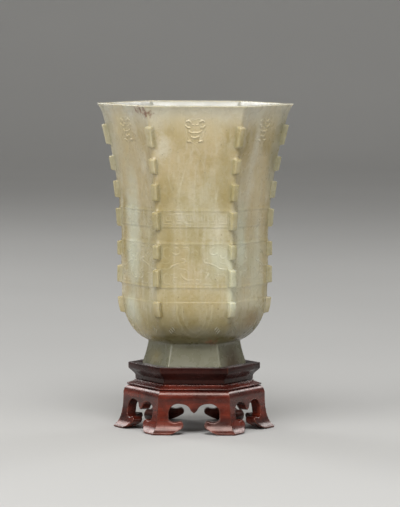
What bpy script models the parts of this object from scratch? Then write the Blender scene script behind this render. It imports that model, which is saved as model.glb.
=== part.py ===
"""Six-sided jade cup with notched corner flanges, seated in a mitred six-sided hardwood stand.

Metres, +Z up. The origin is the middle of the stand's feet on the table, and one flat side of both
the cup and the stand faces -Y. A radius is measured to a corner, an apothem to the middle of a side.
"""

import math

import bmesh
import bpy
from mathutils import Matrix, Vector

MM = 0.001
SIDES = 6
SIDE_ANGLE = 2 * math.pi / SIDES
FACE = math.cos(SIDE_ANGLE / 2)
SLOPE = math.tan(SIDE_ANGLE / 2)

# Jade cup: corner radii, and heights above the underside of its foot
CUP_HEIGHT = 118.5 * MM
MOUTH_RADIUS = 44.6 * MM
LIP_FLICK = 1.2 * MM
LIP_HEIGHT = 5.0 * MM
FLARE_START = 51.0 * MM
BODY_RADIUS = 33.0 * MM
BOWL_DEPTH = 21.6 * MM
BOWL_REACH = 12.8 * MM
BOWL_TURN = math.radians(78)
NECK_RADIUS = 20.8 * MM
FOOT_HEIGHT = 11.5 * MM
FOOT_RADIUS = 24.0 * MM
WALL = 3.0 * MM
CUP_FLOOR = 4.5 * MM
FOOT_RING = 3.4 * MM
RECESS_DEPTH = 2.5 * MM
FOOT_SWEEP = 1.4

# How far a cross-section leaves the true hexagon for a circle: 0 is flat sides
FOOT_ROUNDNESS = 0.03
BOWL_ROUNDNESS = 0.60
BODY_ROUNDNESS = 0.10
MOUTH_ROUNDNESS = 0.06

# Notched flange on each corner of the cup: each block's foot and top as shares of the column's height
FLANGE_FOOT = 24.2 * MM
FLANGE_DROP = 9.6 * MM
FLANGE_WIDTH = 3.0 * MM
FLANGE_PROUD = 1.6 * MM
FLANGE_ROOT = 1.5 * MM
FLANGE_BLOCKS = (
    (0.0, 0.083), (0.161, 0.25), (0.305, 0.38), (0.459, 0.554), (0.612, 0.70), (0.756, 0.832), (0.894, 1.0)
)

# Stand: heights of its three tiers, from the table up
APRON_HEIGHT = 19.3 * MM
WAIST_HEIGHT = 2.2 * MM
RIM_HEIGHT = 7.6 * MM
TIER_GAP = 0.25 * MM
MITRE_GAP = 0.2 * MM

# Rim: a mitred frame that holds the floor panel in a groove and the cup's foot in a shallow seat
SEAT_CLEARANCE = 0.5 * MM
SEAT_DEPTH = 1.7 * MM
REST_GAP = 0.25 * MM
RIM_LAND = 4.6 * MM
RIM_UNDERCUT = 2.75 * MM
RIM_FASCIA = 2.4 * MM
RIM_NECK = 1.5 * MM
RIM_LEDGE = 1.6 * MM
RIM_CHAMFER = 0.3 * MM
FLOOR_THICKNESS = 3.0 * MM
GROOVE_DEPTH = 1.0 * MM
GROOVE_CLEARANCE = 0.25 * MM

# Waist: a mitred moulding that slopes out from a small bead to a larger one
UPPER_BEAD_RADIUS = 0.3 * MM
LOWER_BEAD_RADIUS = 0.4 * MM
UPPER_BEAD_STEP = 0.35 * MM
LOWER_BEAD_STEP = 3.25 * MM

# Apron panels: shoulder, bracket legs and scrolled toes
SHOULDER_STEP = 1.3 * MM
SHOULDER_RADIUS = 2.2 * MM
SHOULDER_THICKNESS = 8.6 * MM
SHOULDER_DEPTH = 3.5 * MM
LEG_THICKNESS = 4.6 * MM
TOE_FLARE = 4.0 * MM
TOE_EDGE = 0.8 * MM
TOE_CHAMFER = 0.5 * MM
LEG_WIDTH = 4.6 * MM
PAD_WIDTH = 4.2 * MM
ANKLE_HEIGHT = 6.6 * MM
TOE_REACH = 11.4 * MM
TOE_HEIGHT = 5.9 * MM
TOE_TIP_RADIUS = 1.7 * MM
ARCH_HEIGHT = 13.7 * MM
LOBE_RADIUS = 4.4 * MM
PENDANT_DROP = 4.2 * MM
PENDANT_WIDTH = 3.8 * MM

# Control points of the leg's outer sweep and the bends of its back: shares of the toe's flare and the height
LEG_SWEEP = ((0.0, 0.44), (0.225, 0.135))
LEG_BACK = ((0.30, 0.17), (0.0, 0.60))

# Hidden joinery: loose keys across the mitres, and pins through the three tiers
KEY_THICKNESS = 1.0 * MM
KEY_WIDTH = 2.6 * MM
KEY_CLEARANCE = 0.1 * MM
APRON_KEY_FOOT = 7.6 * MM
APRON_KEY_HEIGHT = 5.6 * MM
RIM_KEY_HEIGHT = 2.6 * MM
RIM_KEY_DEPTH = 1.0 * MM
PIN_RADIUS = 0.6 * MM
PIN_IN_APRON = 3.0 * MM
PIN_IN_RIM = 1.3 * MM

# Smoothness of the faceted shapes
SIDE_STEPS = 5
FOOT_STEPS = 4
BOWL_STEPS = 7
BODY_STEPS = 8
LIP_STEPS = 2
ARC_STEPS = 5
PIN_FACETS = 12

# Sizes that follow from the ones above
BOWL_TOP = FOOT_HEIGHT + BOWL_DEPTH
WALL_AT_CORNER = WALL / FACE
WAIST_FOOT = APRON_HEIGHT + TIER_GAP
RIM_FOOT = WAIST_FOOT + WAIST_HEIGHT + TIER_GAP
RIM_TOP = RIM_FOOT + RIM_HEIGHT
FLOOR_TOP = RIM_TOP - SEAT_DEPTH
FLOOR_FOOT = FLOOR_TOP - FLOOR_THICKNESS
CUP_SEAT = FLOOR_TOP + REST_GAP
SEAT_APOTHEM = FOOT_RADIUS * FACE + SEAT_CLEARANCE
GROOVE_APOTHEM = SEAT_APOTHEM + GROOVE_DEPTH
LEDGE_APOTHEM = SEAT_APOTHEM - RIM_LEDGE
RIM_APOTHEM = SEAT_APOTHEM + RIM_LAND
RIM_FOOT_APOTHEM = RIM_APOTHEM - RIM_UNDERCUT
UPPER_BEAD_APOTHEM = RIM_FOOT_APOTHEM + UPPER_BEAD_STEP
LOWER_BEAD_APOTHEM = RIM_FOOT_APOTHEM + LOWER_BEAD_STEP
SHOULDER_APOTHEM = LOWER_BEAD_APOTHEM + SHOULDER_STEP
TOE_APOTHEM = SHOULDER_APOTHEM + TOE_FLARE
PIN_APOTHEM = SEAT_APOTHEM


def arc(centre, radii, start, end, steps):
    """Points along an elliptical arc between two angles in degrees, both ends included."""
    angles = [math.radians(start + (end - start) * i / steps) for i in range(steps + 1)]
    return [(centre[0] + radii[0] * math.cos(t), centre[1] + radii[1] * math.sin(t)) for t in angles]


def bezier(points, steps):
    """Points along a Bezier curve of any degree, without its first point."""
    curve = []
    for i in range(1, steps + 1):
        t = i / steps
        level = list(points)
        while len(level) > 1:
            level = [(p[0] + (q[0] - p[0]) * t, p[1] + (q[1] - p[1]) * t) for p, q in zip(level, level[1:])]
        curve.append(level[0])
    return curve


def outer_radius(height):
    """Corner radius of the cup's outside above its bowl."""
    flare = MOUTH_RADIUS - LIP_FLICK - BODY_RADIUS
    opening = max(0.0, (height - FLARE_START) / (CUP_HEIGHT - FLARE_START))
    turn_out = max(0.0, (height - CUP_HEIGHT + LIP_HEIGHT) / LIP_HEIGHT)
    return BODY_RADIUS + flare * opening**2 + LIP_FLICK * turn_out**2


def bowl_reach(turn):
    """How far the bowl has drawn in once its side has turned by an angle from upright."""
    return BOWL_REACH * (1 - math.cos(turn)) / (1 - math.cos(BOWL_TURN))


def wall_radius(height):
    """Corner radius of the cup's outside anywhere above its neck."""
    if height >= BOWL_TOP:
        return outer_radius(height)
    drop = min(1.0, (BOWL_TOP - height) / BOWL_DEPTH)
    return BODY_RADIUS - bowl_reach(math.asin(drop * math.sin(BOWL_TURN)))


def mixed(first, second, share):
    return first + (second - first) * share


def foot_stations():
    """(height, radius, roundness) from the hollow under the foot to the top of its flared outside."""
    recess = FOOT_RADIUS - FOOT_RING / FACE
    stations = [(RECESS_DEPTH, recess, FOOT_ROUNDNESS), (0.0, recess, FOOT_ROUNDNESS)]
    for i in range(FOOT_STEPS + 1):
        rise = i / FOOT_STEPS
        radius = NECK_RADIUS + (FOOT_RADIUS - NECK_RADIUS) * (1 - rise) ** FOOT_SWEEP
        stations.append((FOOT_HEIGHT * rise, radius, FOOT_ROUNDNESS))
    return stations


def bowl_stations(depth, radius):
    """The rounded lower body, from its underside up to the straight body, for the outside or the inside."""
    stations = []
    for i in range(BOWL_STEPS):
        turn = BOWL_TURN * (1 - i / BOWL_STEPS)
        drop = math.sin(turn) / math.sin(BOWL_TURN)
        round_share = mixed(BODY_ROUNDNESS, BOWL_ROUNDNESS, drop)
        stations.append((BOWL_TOP - depth * drop, radius - bowl_reach(turn), round_share))
    return stations


def body_stations(inset):
    """The straight body and flared mouth, drawn in from the outside by inset."""
    body_top = CUP_HEIGHT - LIP_HEIGHT
    heights = [mixed(BOWL_TOP, body_top, i / BODY_STEPS) for i in range(BODY_STEPS + 1)]
    heights += [body_top + LIP_HEIGHT * i / LIP_STEPS for i in range(1, LIP_STEPS + 1)]
    stations = []
    for height in heights:
        share = (height - BOWL_TOP) / (CUP_HEIGHT - BOWL_TOP)
        round_share = mixed(BODY_ROUNDNESS, MOUTH_ROUNDNESS, share)
        stations.append((height, outer_radius(height) - inset, round_share))
    return stations


def section(radius, round_share, height):
    """One cross-section of the cup, anticlockwise from the corner on +X."""
    points = []
    for i in range(SIDES * SIDE_STEPS):
        side, step = divmod(i, SIDE_STEPS)
        first, second = side * SIDE_ANGLE, (side + 1) * SIDE_ANGLE
        share = step / SIDE_STEPS
        x = mixed(math.cos(first), math.cos(second), share)
        y = mixed(math.sin(first), math.sin(second), share)
        grow = mixed(1.0, 1.0 / math.hypot(x, y), round_share)
        points.append((x * grow * radius, y * grow * radius, height))
    return points


def loft(name, rings):
    """A closed skin over cross-sections of equal point count, capped at its first and last one."""
    shape = bmesh.new()
    rows = [[shape.verts.new(point) for point in ring] for ring in rings]
    for low, high in zip(rows, rows[1:]):
        for i in range(len(low)):
            j = (i + 1) % len(low)
            shape.faces.new((low[i], low[j], high[j], high[i]))
    shape.faces.new(reversed(rows[0]))
    shape.faces.new(rows[-1])
    return finished_mesh(name, shape)


def finished_mesh(name, shape):
    bmesh.ops.recalc_face_normals(shape, faces=shape.faces[:])
    mesh = bpy.data.meshes.new(name)
    shape.to_mesh(mesh)
    shape.free()
    return mesh


def box(name, size, centre):
    shape = bmesh.new()
    bmesh.ops.create_cube(shape, size=1.0)
    bmesh.ops.scale(shape, vec=size, verts=shape.verts[:])
    bmesh.ops.translate(shape, vec=centre, verts=shape.verts[:])
    return finished_mesh(name, shape)


def upright_prism(name, outline, foot, height):
    """A plan outline raised from foot by height."""
    return loft(name, [[(x, y, z) for x, y in outline] for z in (foot, foot + height)])


def hexagon(apothem):
    radius = apothem / FACE
    return [(radius * math.cos(i * SIDE_ANGLE), radius * math.sin(i * SIDE_ANGLE)) for i in range(SIDES)]


def mitred_length(name, profile):
    """A length of moulding along the front side, its (apothem, height) profile cut at both mitres."""
    set_back = MITRE_GAP / 2 / FACE
    ends = [[(end * (a * SLOPE - set_back), -a, z) for a, z in profile] for end in (-1, 1)]
    return loft(name, ends)


def added(name, mesh, turn=0.0, parent=None):
    obj = bpy.data.objects.new(name, mesh)
    bpy.context.scene.collection.objects.link(obj)
    obj.rotation_euler.z = turn
    obj.parent = parent
    return obj


def combined(mesh, tools, operation):
    """A new mesh: the first one cut by, or joined to, each (mesh, turn about Z) of tools."""
    work = added("work_piece", mesh)
    helpers = [work]
    for tool_mesh, turn in tools:
        tool = added("tool", tool_mesh, turn)
        tool.hide_render = True
        tool.display_type = "WIRE"
        modifier = work.modifiers.new("combine", "BOOLEAN")
        modifier.operation = operation
        modifier.object = tool
        helpers.append(tool)
    graph = bpy.context.evaluated_depsgraph_get()
    result = bpy.data.meshes.new_from_object(work.evaluated_get(graph))
    result.name = mesh.name
    for helper in helpers:
        bpy.data.objects.remove(helper)
    return result


def material(name, colour, roughness):
    made = bpy.data.materials.new(name)
    made.use_nodes = True
    shader = made.node_tree.nodes["Principled BSDF"]
    shader.inputs["Base Color"].default_value = (*colour, 1.0)
    shader.inputs["Roughness"].default_value = roughness
    shader.inputs["Metallic"].default_value = 0.0
    return made


def finished(mesh, finish, smooth_below=30.0):
    mesh.materials.clear()
    mesh.materials.append(finish)
    mesh.shade_smooth()
    mesh.set_sharp_from_angle(angle=math.radians(smooth_below))
    return mesh


def flange_blocks():
    """All the blocks of the six corner flanges, each rooted in the wall and following its slope."""
    length = CUP_HEIGHT - FLANGE_DROP - FLANGE_FOOT
    half = FLANGE_WIDTH / 2
    shape = bmesh.new()
    for low_share, high_share in FLANGE_BLOCKS:
        for corner in range(SIDES):
            turn = Matrix.Rotation(corner * SIDE_ANGLE, 3, "Z")
            ends = []
            for share in (low_share, high_share):
                height = FLANGE_FOOT + length * share
                inner = wall_radius(height) - FLANGE_ROOT
                outer = wall_radius(height) + FLANGE_PROUD
                plan = ((inner, -half), (outer, -half), (outer, half), (inner, half))
                ends.append([shape.verts.new(turn @ Vector((x, y, height))) for x, y in plan])
            low, high = ends
            for i in range(len(low)):
                j = (i + 1) % len(low)
                shape.faces.new((low[i], low[j], high[j], high[i]))
            shape.faces.new(reversed(low))
            shape.faces.new(high)
    return finished_mesh("flange_blocks", shape)


def cup_mesh():
    outside = foot_stations() + bowl_stations(BOWL_DEPTH, BODY_RADIUS)[1:] + body_stations(0.0)
    inside = body_stations(WALL_AT_CORNER)[::-1]
    inside += bowl_stations(BOWL_DEPTH - CUP_FLOOR, BODY_RADIUS - WALL_AT_CORNER)[::-1]
    rings = [section(radius, round_share, height) for height, radius, round_share in outside + inside]
    return combined(loft("jade_cup", rings), [(flange_blocks(), 0.0)], "UNION")


def rim_profile():
    """Grooved inside, small flat top, upright edge and an ogee drawn in to a narrow neck below it."""
    neck_top = RIM_FOOT + RIM_NECK
    fascia_foot = RIM_TOP - RIM_FASCIA
    lower_pull = (RIM_FOOT_APOTHEM, mixed(neck_top, fascia_foot, 0.40))
    upper_pull = (RIM_APOTHEM, mixed(neck_top, fascia_foot, 0.82))
    ogee = bezier(((RIM_FOOT_APOTHEM, neck_top), lower_pull, upper_pull, (RIM_APOTHEM, fascia_foot)), ARC_STEPS)
    groove_top = FLOOR_TOP + GROOVE_CLEARANCE
    groove_foot = FLOOR_FOOT - GROOVE_CLEARANCE
    return [
        (LEDGE_APOTHEM, RIM_FOOT),
        (RIM_FOOT_APOTHEM, RIM_FOOT),
        (RIM_FOOT_APOTHEM, neck_top),
        *ogee,
        (RIM_APOTHEM, RIM_TOP - RIM_CHAMFER),
        (RIM_APOTHEM - RIM_CHAMFER, RIM_TOP),
        (SEAT_APOTHEM, RIM_TOP),
        (SEAT_APOTHEM, groove_top),
        (GROOVE_APOTHEM, groove_top),
        (GROOVE_APOTHEM, groove_foot),
        (LEDGE_APOTHEM, groove_foot),
    ]


def waist_profile():
    top = WAIST_FOOT + WAIST_HEIGHT
    lower_radii = (LOWER_BEAD_RADIUS, LOWER_BEAD_RADIUS)
    upper_radii = (UPPER_BEAD_RADIUS, UPPER_BEAD_RADIUS)
    lower_centre = (LOWER_BEAD_APOTHEM - LOWER_BEAD_RADIUS, WAIST_FOOT + LOWER_BEAD_RADIUS)
    upper_centre = (UPPER_BEAD_APOTHEM - UPPER_BEAD_RADIUS, top - UPPER_BEAD_RADIUS)
    lower = arc(lower_centre, lower_radii, -90, 90, ARC_STEPS)
    upper = arc(upper_centre, upper_radii, -30, 90, ARC_STEPS)
    return [(LEDGE_APOTHEM, WAIST_FOOT), *lower, *upper, (LEDGE_APOTHEM, top)]


def apron_profile():
    """Round shoulder, a foot swept outwards, and a back that thickens up to the shoulder."""
    shoulder_centre = (SHOULDER_APOTHEM - SHOULDER_RADIUS, APRON_HEIGHT - SHOULDER_RADIUS)
    shoulder = arc(shoulder_centre, (SHOULDER_RADIUS, SHOULDER_RADIUS), 90, 0, ARC_STEPS)
    controls = [(SHOULDER_APOTHEM + out * TOE_FLARE, up * APRON_HEIGHT) for out, up in LEG_SWEEP]
    sweep = bezier((shoulder[-1], *controls, (TOE_APOTHEM, TOE_EDGE)), 2 * ARC_STEPS)
    pad = TOE_APOTHEM - TOE_CHAMFER
    back = [(SHOULDER_APOTHEM + out * TOE_FLARE - LEG_THICKNESS, up * APRON_HEIGHT) for out, up in LEG_BACK]
    top = SHOULDER_APOTHEM - SHOULDER_THICKNESS
    return [
        *shoulder,
        *sweep,
        (pad, 0.0),
        (pad - LEG_THICKNESS, 0.0),
        *back,
        (top, APRON_HEIGHT - SHOULDER_DEPTH),
        (top, APRON_HEIGHT),
    ]


def arch_outline():
    """The opening under an apron panel: two lobes, a pendant between them and a scrolled toe each side."""
    corner = SHOULDER_APOTHEM * SLOPE
    pad = corner - PAD_WIDTH
    leg = corner - LEG_WIDTH
    toe = corner - TOE_REACH
    tip = (toe + TOE_TIP_RADIUS, TOE_HEIGHT - TOE_TIP_RADIUS)
    under_tip = arc(tip, (TOE_TIP_RADIUS, TOE_TIP_RADIUS), 245, 85, ARC_STEPS)
    lobe_centre = (leg - LOBE_RADIUS, ARCH_HEIGHT - LOBE_RADIUS)
    lobe = arc(lobe_centre, (LOBE_RADIUS, LOBE_RADIUS), 0, 100, 2 * ARC_STEPS)
    pendant_tip = ARCH_HEIGHT - PENDANT_DROP
    shoulder_of_pendant = (PENDANT_WIDTH / 2, mixed(pendant_tip, ARCH_HEIGHT, 0.5))
    half = [(pad, -APRON_HEIGHT), (pad, 0.0)]
    half += bezier(((pad, 0.0), (mixed(toe, pad, 0.53), 0.14 * TOE_HEIGHT), under_tip[0]), ARC_STEPS)
    half += under_tip[1:]
    half += bezier((half[-1], (mixed(toe, leg, 0.7), 0.7 * ANKLE_HEIGHT), (leg, ANKLE_HEIGHT)), ARC_STEPS)
    half += lobe
    half += bezier((lobe[-1], (0.75 * PENDANT_WIDTH, 0.98 * ARCH_HEIGHT), shoulder_of_pendant), 3)
    half += bezier((shoulder_of_pendant, (0.37 * PENDANT_WIDTH, mixed(pendant_tip, ARCH_HEIGHT, 0.17)),
                    (0.0, pendant_tip)), 3)
    return half + [(-u, v) for u, v in half[-2::-1]]


def arch_cutter():
    front, back = -2 * TOE_APOTHEM, -0.5 * SHOULDER_APOTHEM
    return loft("arch", [[(u, y, v) for u, v in arch_outline()] for y in (front, back)])


def apron_key_box(name, clearance):
    """Loose key of an apron mitre, standing on the +X corner."""
    radius = (SHOULDER_APOTHEM - 0.43 * LEG_THICKNESS) / FACE
    size = (KEY_THICKNESS + 2 * clearance, KEY_WIDTH + 2 * clearance, APRON_KEY_HEIGHT + 2 * clearance)
    return box(name, size, (radius, 0.0, APRON_KEY_FOOT + APRON_KEY_HEIGHT / 2))


def rim_key_box(name, clearance):
    """Loose key of a rim mitre, standing on the +X corner outside the floor panel's groove."""
    radius = (GROOVE_APOTHEM + RIM_KEY_DEPTH) / FACE
    size = (KEY_THICKNESS + 2 * clearance, KEY_WIDTH + 2 * clearance, RIM_KEY_HEIGHT + 2 * clearance)
    return box(name, size, (radius, 0.0, RIM_TOP - RIM_FASCIA / 2 - RIM_KEY_HEIGHT / 2))


def pin_mesh(name, clearance):
    """Round pin from the apron through the waist into the rim, at the middle of the front side."""
    radius = PIN_RADIUS + clearance
    outline = arc((0.0, -PIN_APOTHEM), (radius, radius), 0, 360, PIN_FACETS)[:-1]
    foot = APRON_HEIGHT - PIN_IN_APRON - clearance
    return upright_prism(name, outline, foot, RIM_FOOT + PIN_IN_RIM + clearance - foot)


def at_both_mitres(mesh):
    """A corner tool turned to the two ends of the front side."""
    return [(mesh, -SIDE_ANGLE), (mesh, -2 * SIDE_ANGLE)]


def build():
    for obj in list(bpy.data.objects):
        bpy.data.objects.remove(obj)

    jade = material("jade", (0.50, 0.43, 0.27), 0.35)
    stand_wood = material("stand_wood", (0.06, 0.017, 0.011), 0.35)
    key_wood = material("key_wood", (0.16, 0.07, 0.04), 0.6)

    pin_hole = pin_mesh("pin_hole", KEY_CLEARANCE)
    rim_slot = rim_key_box("rim_slot", KEY_CLEARANCE)
    apron_slot = apron_key_box("apron_slot", KEY_CLEARANCE)

    rim = mitred_length("rim_rail", rim_profile())
    rim = combined(rim, [(pin_hole, 0.0), *at_both_mitres(rim_slot)], "DIFFERENCE")
    waist = combined(mitred_length("waist_rail", waist_profile()), [(pin_hole, 0.0)], "DIFFERENCE")
    apron = mitred_length("apron_panel", apron_profile())
    apron_tools = [(arch_cutter(), 0.0), (pin_hole, 0.0), *at_both_mitres(apron_slot)]
    apron = combined(apron, apron_tools, "DIFFERENCE")

    on_each_side = (
        ("rim_rail", finished(rim, stand_wood)),
        ("waist_rail", finished(waist, stand_wood, 40.0)),
        ("apron_panel", finished(apron, stand_wood)),
        ("apron_key", finished(apron_key_box("apron_key", 0.0), key_wood)),
        ("rim_key", finished(rim_key_box("rim_key", 0.0), key_wood)),
        ("stand_pin", finished(pin_mesh("stand_pin", 0.0), key_wood, 40.0)),
    )

    stand = added("stand", None)
    for name, mesh in on_each_side:
        for side in range(SIDES):
            added(f"{name}_{side + 1}", mesh, side * SIDE_ANGLE, stand)

    floor_outline = hexagon(GROOVE_APOTHEM - GROOVE_CLEARANCE)
    floor = upright_prism("tray_floor", floor_outline, FLOOR_FOOT, FLOOR_THICKNESS)
    added("tray_floor", finished(floor, stand_wood), 0.0, stand)

    cup = added("jade_cup", finished(cup_mesh(), jade, 35.0))
    cup.location.z = CUP_SEAT


build()
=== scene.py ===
import math

import bpy
import numpy as np
from mathutils import Matrix, Vector


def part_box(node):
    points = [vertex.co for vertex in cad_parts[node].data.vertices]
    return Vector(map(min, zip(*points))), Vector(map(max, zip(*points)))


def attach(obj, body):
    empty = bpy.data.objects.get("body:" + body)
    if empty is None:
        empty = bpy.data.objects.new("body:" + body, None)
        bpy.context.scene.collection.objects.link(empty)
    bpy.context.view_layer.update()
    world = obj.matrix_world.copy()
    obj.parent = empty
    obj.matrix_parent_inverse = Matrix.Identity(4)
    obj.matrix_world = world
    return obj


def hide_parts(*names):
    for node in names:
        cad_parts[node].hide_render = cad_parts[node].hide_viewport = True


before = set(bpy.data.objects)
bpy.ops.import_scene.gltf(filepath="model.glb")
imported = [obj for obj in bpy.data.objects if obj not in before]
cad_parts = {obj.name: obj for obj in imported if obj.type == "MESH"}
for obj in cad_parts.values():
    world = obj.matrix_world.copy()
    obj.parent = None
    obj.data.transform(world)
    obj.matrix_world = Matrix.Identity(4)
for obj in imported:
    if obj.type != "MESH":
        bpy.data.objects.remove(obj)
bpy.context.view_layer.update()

mm = 0.001
sides = 6
turn = 2 * math.pi / sides  # from one side to the next
cos30 = math.cos(turn / 2)
tan30 = math.tan(turn / 2)


# working habits shared by every piece

def deselectAll():
    if bpy.context.mode != "OBJECT":
        bpy.ops.object.mode_set(mode="OBJECT")
    bpy.ops.object.select_all(action="DESELECT")


def pickUp(piece):
    deselectAll()
    piece.select_set(True)
    bpy.context.view_layer.objects.active = piece


def useModifier(piece, kind, **settings):
    pickUp(piece)
    modifier = piece.modifiers.new(kind.lower(), kind)
    for setting, value in settings.items():
        setattr(modifier, setting, value)
    bpy.ops.object.modifier_apply(modifier=modifier.name)


def binPiece(piece):
    mesh = piece.data
    bpy.data.objects.remove(piece)
    bpy.data.meshes.remove(mesh)


def smoothShade(piece, degrees):
    pickUp(piece)
    bpy.ops.object.shade_smooth_by_angle(angle=math.radians(degrees))


def readPlaces(mesh, kind="co"):  # every vertex's place, or its normal
    flat = np.empty(len(mesh.vertices) * 3, np.float32)
    mesh.vertices.foreach_get(kind, flat)
    return flat.reshape(-1, 3)


def writePlaces(mesh, places):
    mesh.vertices.foreach_set("co", places.astype(np.float32).ravel())


def writeTint(mesh, name, values):  # a number on each vertex for the materials to read
    layer = mesh.attributes.new(name, "FLOAT", "POINT")
    layer.data.foreach_set("value", values.astype(np.float32))


def arcPoints(centre, radii, start, end, steps):
    angles = np.radians(np.linspace(start, end, steps + 1))
    return [(centre[0] + radii[0] * math.cos(a), centre[1] + radii[1] * math.sin(a)) for a in angles]


def swingPoints(controls, steps):  # smooth line through given points
    line = []
    ends = [controls[0], *controls, controls[-1]]
    for before, first, second, after in zip(ends, ends[1:], ends[2:], ends[3:]):
        for t in np.linspace(0, 1, steps, endpoint=False):
            line.append(tuple(
                0.5 * (2 * b + (c - a) * t + (2 * a - 5 * b + 4 * c - d) * t**2
                       + (3 * b - a - 3 * c + d) * t**3)
                for a, b, c, d in zip(before, first, second, after)))
    return line + [controls[-1]]


def bezierPoints(controls, steps):  # pulled curve, its first point left out
    line = []
    for t in np.linspace(0, 1, steps + 1)[1:]:
        level = [np.array(point, float) for point in controls]
        while len(level) > 1:
            level = [p + (q - p) * t for p, q in zip(level, level[1:])]
        line.append(tuple(level[0]))
    return line


def filledOutline(name, points):  # a circle primitive pulled to an outline
    deselectAll()
    bpy.ops.mesh.primitive_circle_add(vertices=len(points), radius=1.0, fill_type="NGON")
    piece = bpy.context.object
    piece.name = name
    for vertex, point in zip(piece.data.vertices, points):
        vertex.co = point
    return piece


def faceOutwards():  # the last step in edit mode
    bpy.ops.mesh.select_all(action="SELECT")
    bpy.ops.mesh.normals_make_consistent(inside=False)
    bpy.ops.object.mode_set(mode="OBJECT")


def pullOut(piece, way):  # extrude the whole outline into a closed bar
    pickUp(piece)
    bpy.ops.object.mode_set(mode="EDIT")
    bpy.ops.mesh.select_all(action="SELECT")
    bpy.ops.mesh.extrude_region_move(TRANSFORM_OT_translate={"value": way})
    faceOutwards()


def sawMitres(piece, gap):  # cut both ends of a front-side bar at the corner planes
    pickUp(piece)
    bpy.ops.object.mode_set(mode="EDIT")
    for end in (-1, 1):
        normal = Vector((end * cos30, 0.5, 0))
        bpy.ops.mesh.select_all(action="SELECT")
        bpy.ops.mesh.bisect(plane_co=normal * (-gap / 2), plane_no=normal, use_fill=True, clear_outer=True)
    faceOutwards()


# node work

def addNode(tree, kind, settings=None, **inputs):
    node = tree.nodes.new(kind)
    for setting, value in (settings or {}).items():
        setattr(node, setting, value)
    wire(tree, node, **inputs)
    return node


def wire(tree, node, **inputs):  # by name, or n and a number where names repeat
    for name, value in inputs.items():
        numbered = name[0] == "n" and name[1:].isdigit()
        socket = node.inputs[int(name[1:]) if numbered else name.replace("_", " ")]
        if isinstance(value, bpy.types.NodeSocket):
            tree.links.new(value, socket)
        else:
            socket.default_value = value


def attribute(tree, name, output="Fac"):
    return addNode(tree, "ShaderNodeAttribute", {"attribute_name": name}).outputs[output]


def mixColour(tree, share, first, second):
    first, second = ((*value, 1.0) if isinstance(value, tuple) else value for value in (first, second))
    node = addNode(tree, "ShaderNodeMix", {"data_type": "RGBA", "clamp_factor": True},
                   n0=share, n6=first, n7=second)
    return node.outputs[2]


def ramp(tree, value, low, high, toLow=0.0, toHigh=1.0):
    node = addNode(tree, "ShaderNodeMapRange", {"interpolation_type": "SMOOTHSTEP"}, Value=value,
                   From_Min=low, From_Max=high, To_Min=toLow, To_Max=toHigh)
    return node.outputs[0]


def sums(tree, operation, first, second):
    node = addNode(tree, "ShaderNodeMath", {"operation": operation}, n0=first, n1=second)
    return node.outputs[0]


def glaze(tree, colour, mask, amount, tint):  # lay a share of another colour over the one so far
    return mixColour(tree, sums(tree, "MULTIPLY", mask, amount), colour, tint)


def newMaterial(name):
    material = bpy.data.materials.new(name)
    material.use_nodes = True
    return material, material.node_tree, material.node_tree.nodes["Principled BSDF"]


def newGroup(name, inputs, outputs):
    group = bpy.data.node_groups.new(name, "ShaderNodeTree")
    for direction, labels in (("INPUT", inputs), ("OUTPUT", outputs)):
        for label in labels:
            kind = "NodeSocketVector" if label == "Vector" else "NodeSocketFloat"
            group.interface.new_socket(name=label, in_out=direction, socket_type=kind)
    return group, group.nodes.new("NodeGroupInput"), group.nodes.new("NodeGroupOutput")


# a soft cloud of light and dark, placed in stone and wood alike

def makeCloudGroup():
    group, inlet, outlet = newGroup("softCloud", ("Vector", "Scale", "Detail", "Low", "High"), ("Mask",))
    noise = addNode(group, "ShaderNodeTexNoise", Vector=inlet.outputs["Vector"], Scale=inlet.outputs["Scale"],
                    Detail=inlet.outputs["Detail"], Roughness=0.55)
    wire(group, outlet, Mask=ramp(group, noise.outputs["Fac"], inlet.outputs["Low"], inlet.outputs["High"]))
    return group


softCloud = makeCloudGroup()


def cloud(tree, vector, scale, detail, low, high):
    node = addNode(tree, "ShaderNodeGroup", {"node_tree": softCloud}, Vector=vector, Scale=scale,
                   Detail=detail, Low=low, High=high)
    return node.outputs["Mask"]


def stretched(tree, vector, scale, place=(0, 0, 0)):
    return addNode(tree, "ShaderNodeMapping", Vector=vector, Scale=scale, Location=place).outputs[0]


# jade: pale celadon beige, clouded, streaked, russet near the rim, with painted light and shade laid over it
# in places

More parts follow.
